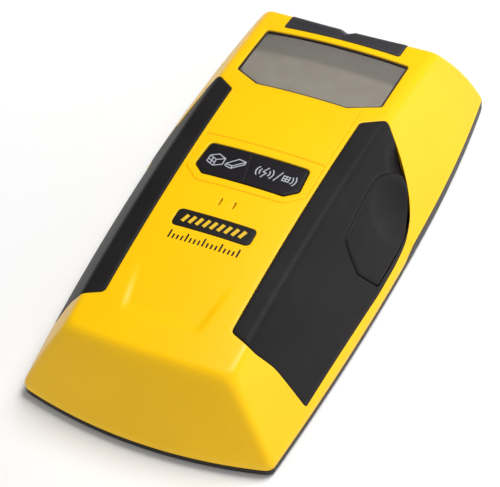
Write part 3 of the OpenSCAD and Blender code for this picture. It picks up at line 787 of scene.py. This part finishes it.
def pin(x0, y, z, x1, radius, count=20):
    """A closed round pin along X with a rounded outer end."""
    way = 1 if x1 > x0 else -1
    rings = [(x0, 1), (x1 - way * 0.3, 1), (x1 - way * 0.1, 0.85), (x1, 0.6)]
    turn = np.linspace(0, 2 * math.pi, count, endpoint=False)
    vertices = np.vstack([np.stack([np.full(count, at), y + radius * share * np.cos(turn),
                                    z + radius * share * np.sin(turn)], 1) for at, share in rings])
    faces = [tuple(range(count))[::-1], tuple(range(3 * count, 4 * count))]
    for j in range(3):
        for i in range(count):
            a, b = j * count + i, j * count + (i + 1) % count
            faces.append((a, b, b + count, a + count))
    if way < 0:
        faces = [tuple(reversed(f)) for f in faces]
    return vertices, faces


def make_glide_pads():
    parts = []
    for x0, y0, x1, y1 in ((-15, -75.1, 15, -70.5), (-24, 68.1, 24, 72.7),
                           (31.5, -12, 35.5, 30), (-35.5, -12, -31.5, 30)):
        outer = rectangle(x0, y0, x1, y1, 1.8)
        plan = Plan(outer, 1.2).edge(outer, 0.25)
        parts.append(turned_over(plan, lambda x, y: 0 * x, lambda x, y, top: -PAD_T - 0.05 + 0 * x))
    made = mesh_object("glide_pad_set", parts, PAD_WHITE)
    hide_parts("glide_pads")


# ---- rubber ----------------------------------------------------------------------------
def ball_floor(centre, radius, x, y):
    """Lower half of a ball as a height, and a large one beside the ball."""
    reach2 = radius ** 2 - (x - centre[0]) ** 2 - (y - centre[1]) ** 2
    return np.where(reach2 > 0, centre[2] - np.sqrt(np.maximum(reach2, 0)), 99)


SCOOP_R = 16
SCOOP_AT = side_frame(np.array([-4.0]), np.array([20.5]), np.array([SCOOP_R - 1.3]))[0]


def grip_height(x, y):
    """The right-hand grip: proud of the body, with the finger scoop beyond the key."""
    skin = form(x, y) + PROUD
    return smooth_min(skin, ball_floor(SCOOP_AT, SCOOP_R, x, y) + 0.1, 0.5)


def grip_under(x, y, top):
    return np.minimum(form(x, y) - 1.5 * steepness(x, y), top - 0.4)


def make_grips():
    outer = GRIP_RIGHT
    plan = Plan(outer, 0.9).edge(outer, 0.5)
    window = key_outline_on_body(0.3)
    plan.hole(window).edge(window, 0.4, True)
    made = mesh_object("right_grip_rubber", [slab(plan, grip_height, grip_under)], RUBBER)
    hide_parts("right_grip")

    outer = mirrored(GRIP_RIGHT)
    plan = Plan(outer, 0.9).edge(outer, 0.5)
    made = mesh_object("left_grip_rubber", [slab(plan, lambda x, y: grip_height(-x, y), grip_under)], RUBBER)
    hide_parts("left_grip")


DISH_R = 30


def side_key_height(u, v):
    """The scan key's face in its own frame, dished for a fingertip."""
    skin = side_height(u, v) + PROUD + 0.15
    dish = ball_floor((0.0, 6.0, DISH_R - 0.75), DISH_R, u, v)
    return smooth_min(skin, dish, 0.35)


def make_side_key():
    plan = Plan(SIDE_KEY, 0.8).edge(SIDE_KEY, 0.7)
    parts = [slab(plan, side_key_height, lambda u, v, top: -3.9 + 0 * u)]
    made = mesh_object("scan_key_cap", parts, RUBBER, "scan_key", lambda u, v, w: side_frame(u, v, w))
    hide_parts("side_key")


# ---- end insert, badge, display and mode keys ------------------------------------------
def insert_height(x, y):
    """The end insert, with its marking notch down the far wall."""
    notch = 1.4 * np.clip(1 - np.abs(x) / 2.4, 0, 1)
    return form(x, y + notch) + PROUD


def make_insert():
    outer = insert_loop(-0.05)
    plan = Plan(outer, 0.8).edge(outer, 0.4)
    for x in (-2.4, 0.0, 2.4):
        plan.lines.append((along((x, INSERT_NEAR + 3), (x, 73.5)), False))
    made = mesh_object("end_insert_bridge", [slab(plan, insert_height, grip_under)], INSERT_DARK)
    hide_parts("end_insert")


def stroke(points, width):
    """The closed outline of a thick line."""
    line = np.array(points, float)
    return np.vstack([offset(line, -width / 2, False), offset(line, width / 2, False)[::-1]])


def bow(x, y, radius, start, end, count=7):
    """Points along an arc, in degrees."""
    turn = np.radians(np.linspace(start, end, count))
    return [(x + radius * math.cos(t), y + radius * math.sin(t)) for t in turn]


def print_on(name, loops, height, material, body="casing"):
    """Thin printed shapes that lie on a surface."""
    parts = []
    for loop in loops:
        plan = Plan(subdivided(loop, 0.9), 1.0)
        parts.append(slab(plan, lambda x, y: height(x, y) + 0.03, lambda x, y, top: top - 0.12))
    return mesh_object(name, parts, material, body)


def badge_height(x, y):
    return form(x, y) + 0.06


def make_badge():
    plan = Plan(BADGE, 1.2).edge(BADGE, 0.15)
    face = slab(plan, badge_height, lambda x, y, top: form(x, y) - 0.45)
    made = mesh_object("badge_face", [face], PRINT_BLACK)
    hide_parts("badge_plate")
    pitch, lean, half = 2.1, 0.45, 1.25
    bars = [stroke([(BADGE_X + pitch * i - lean, BADGE_Y - half),
                    (BADGE_X + pitch * i + lean, BADGE_Y + half)], 1.05) for i in range(-4, 5)]
    print_on("badge_bars", bars, badge_height, PRINT_YELLOW)
    ticks = [stroke([(BADGE_X + 1.25 * i, -31.9), (BADGE_X + 1.25 * i, -30.3 if i % 4 else -29.2)], 0.5)
             for i in range(-8, 9)]
    print_on("ruler_ticks", ticks, casing_height, PRINT_BLACK)


def make_display_window():
    def below(depth):
        return lambda x, y, top=None: form(x, y) - depth

    outer = offset(WINDOW, 0.3)
    plan = Plan(outer, 2.0).edge(outer, 0.25)
    made = mesh_object("display_lens", [slab(plan, below(0.4), below(1.0))], LENS)
    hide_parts("lcd_lens")
    # painted shade: a dark brown ring under the lens edge, standing for the shadow in the window gap
    gap_shade_ring = Plan(offset(WINDOW, -0.1), 1.2).hole(offset(WINDOW, 0.35))
    mesh_object("display_gap_shade_ring", [slab(gap_shade_ring, below(0.45), below(2.2))], PAINTED_GAP_SHADE)
    plan = Plan(offset(WINDOW, 0.2), 2.0)
    made = mesh_object("display_face", [slab(plan, below(1.15), below(2.0))], DISPLAY)
    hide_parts("lcd_panel")


KEY_LOW = 26.7


def key_loop(side):
    """One mode key's outline: the bar on one side of the slanted gap."""
    near = 0.6 + side * 0.06
    far = -2 + side * 0.06
    if side > 0:
        return rounded([[near, KEY_NEAR, 0.35], *KEY_HALF, [far, KEY_FAR, 0.35]])
    outer = [[-x, y, r] for x, y, r in reversed(KEY_HALF)]
    return rounded([[far, KEY_FAR, 0.35], *outer, [near, KEY_NEAR, 0.35]])


def key_height(x, y):
    return form(x, y) + 0.15


def key_pictograms():
    """Lines for the two keys: a block of wood and a folded plate; waves with a bolt, and a mesh."""
    x, y = -10.4, -2.3
    block = [[(x - 2.3, y + 1), (x, y + 2.1), (x + 2.3, y + 1), (x + 2.3, y - 1.3), (x, y - 2.4),
              (x - 2.3, y - 1.3), (x - 2.3, y + 1)], [(x - 2.3, y + 1), (x, y - 0.1), (x + 2.3, y + 1)],
             [(x, y - 0.1), (x, y - 2.4)], [(x - 1.1, y + 0.4), (x - 1.1, y - 1.8)],
             [(x - 2.3, y - 0.2), (x, y - 1.3)]]
    x = -4.6
    plate = [[(x - 2.6, y - 1.4), (x - 0.6, y - 1.9), (x + 2.4, y + 0.6), (x + 2.4, y + 1.6),
              (x + 0.2, y + 2), (x - 2.6, y - 0.6), (x - 2.6, y - 1.4)],
             [(x - 2.6, y - 0.6), (x - 0.6, y - 1), (x + 2.4, y + 1.6)],
             [(x - 0.6, y - 1.9), (x - 0.6, y - 1)]]
    x = 4.1
    waves = [bow(x, y, radius, start, start + 84) for radius in (1.5, 2.5) for start in (-42, 138)]
    bolt = [[(x + 0.6, y + 2), (x - 0.5, y + 0.1), (x + 0.45, y - 0.1), (x - 0.5, y - 2)]]
    slash = [[(x + 3.3, y - 1.9), (x + 4.7, y + 1.9)]]
    x = 10.4
    mesh = [[(x - 1, y + t), (x + 1, y + t)] for t in (-0.9, 0, 0.9)]
    mesh += [[(x + t, y - 1), (x + t, y + 1)] for t in (-0.9, 0, 0.9)]
    ripples = [bow(x, y, 2, -40, 40), bow(x, y, 2.9, -36, 36)]
    return block + plate, waves + bolt + slash + mesh + ripples


def make_mode_keys():
    pictures = key_pictograms()
    for side, name, node, body in ((-1, "stud_key", "stud_key", "stud_key_body"),
                                   (1, "mode_key", "mode_key", "mode_key_body")):
        plan = Plan(key_loop(side), 0.9).edge(key_loop(side), 0.12).edge(KEY_BAR, 0.5)
        cap = slab(plan, key_height, lambda x, y, top: KEY_LOW + 0 * x)
        made = mesh_object(name + "_cap", [cap], KEY_BLACK, body)
        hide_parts(node)
        print_on(name + "_print", [stroke(line, 0.34) for line in pictures[(side + 1) // 2]], key_height,
                 PRINT_GREY, body)


# ---- CAD nodes that stay in sight ------------------------------------------------------
STAYING = {
    "lcd_frame": BLACK, "zebra_strips": FOAM, "stud_key_plunger": WHITE,
    "mode_key_plunger": WHITE, "key_switches": GREY_PLASTIC, "side_key_plunger": WHITE,
    "side_key_spring": STEEL, "side_switch": GREY_PLASTIC, "side_board": BOARD, "main_board": BOARD,
    "processor": BLACK, "board_components": COMPONENT, "buzzer": BLACK, "sensor_board": BOARD,
    "sensor_plates": COPPER, "sensing_coil": COPPER, "board_header": BLACK, "battery": STEEL,
    "battery_terminals": STEEL, "battery_snap": LEAD_BLACK, "red_lead": RED, "black_lead": LEAD_BLACK,
    "battery_pad": FOAM, "casing_screws": STEEL, "board_screws": STEEL,
}


def finish_cad_nodes():
    for node, material in STAYING.items():
        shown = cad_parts[node]
        shown.data.materials.clear()
        shown.data.materials.append(material)


# ---- the studio ------------------------------------------------------------------------
def place_camera():
    azimuth, elevation, roll = (math.radians(a) for a in (30.535, 47.982, -6.939))
    back = Vector((math.sin(azimuth) * math.cos(elevation), -math.cos(azimuth) * math.cos(elevation),
                   math.sin(elevation)))
    level = (-back).cross(Vector((0, 0, 1))).normalized()
    upright = level.cross(-back)
    right = math.cos(roll) * level + math.sin(roll) * upright
    up = -math.sin(roll) * level + math.cos(roll) * upright
    place = 563.5 * back - 3.8 * right - 0.88 * up
    data = bpy.data.cameras.new("camera")
    data.sensor_width = 36
    data.lens = 144
    camera = bpy.data.objects.new("camera", data)
    rows = Matrix((right, up, back)).transposed()
    camera.matrix_world = Matrix.Translation(place * MM) @ rows.to_4x4()
    bpy.context.scene.collection.objects.link(camera)
    bpy.context.scene.camera = camera


def area_light(name, place, size, power, aim=(0, 0, 0.01)):
    data = bpy.data.lights.new(name, "AREA")
    data.shape = "DISK"
    data.size = size
    data.energy = power
    light = bpy.data.objects.new(name, data)
    light.location = place
    light.rotation_mode = "QUATERNION"
    light.rotation_quaternion = (Vector(place) - Vector(aim)).to_track_quat("Z", "Y")
    bpy.context.scene.collection.objects.link(light)


def sky():
    """Soft light from all round, dimmer beyond the display end and to the left."""
    world = bpy.data.worlds.new("studio")
    world.use_nodes = True
    nodes, links = world.node_tree.nodes, world.node_tree.links
    towards = nodes.new("ShaderNodeVectorMath")
    towards.operation = "DOT_PRODUCT"
    towards.inputs[1].default_value = (-0.34, 0.62, 0.7)
    links.new(nodes.new("ShaderNodeTexCoord").outputs["Generated"], towards.inputs[0])
    level = nodes.new("ShaderNodeMapRange")
    for socket, number in zip(("From Min", "From Max", "To Min", "To Max"), (-0.4, 0.95, 0.78, 0.08)):
        level.inputs[socket].default_value = number
    links.new(towards.outputs["Value"], level.inputs["Value"])
    background = nodes["Background"]
    background.inputs["Color"].default_value = (1, 1, 1, 1)
    links.new(level.outputs["Result"], background.inputs["Strength"])
    return world


def build_studio():
    scene = bpy.context.scene
    scene.view_settings.view_transform = "Standard"
    scene.world = sky()
    area_light("key_light", (0.27, 0.36, 0.95), 0.6, 10.9)
    area_light("side_light", (0.95, 0.67, 0.12), 0.7, 2.6)
    size = 3
    level = -0.0002
    corner_points = [(x * size, y * size, level) for x, y in ((-1, -1), (1, -1), (1, 1), (-1, 1))]
    mesh = bpy.data.meshes.new("floor")
    mesh.from_pydata(corner_points, [], [(0, 1, 2, 3)])
    floor = bpy.data.objects.new("floor", mesh)
    floor_finish = Material("floor_paper", roughness=0.9, specular=0.1)
    floor_finish.colour((0.9, 0.9, 0.9, 1))
    mesh.materials.append(floor_finish.made)
    scene.collection.objects.link(floor)


place_camera()
make_top_casing()
make_base_casing()
make_door()
make_glide_pads()
make_grips()
make_side_key()
make_insert()
make_badge()
make_display_window()
make_mode_keys()
finish_cad_nodes()
build_studio()
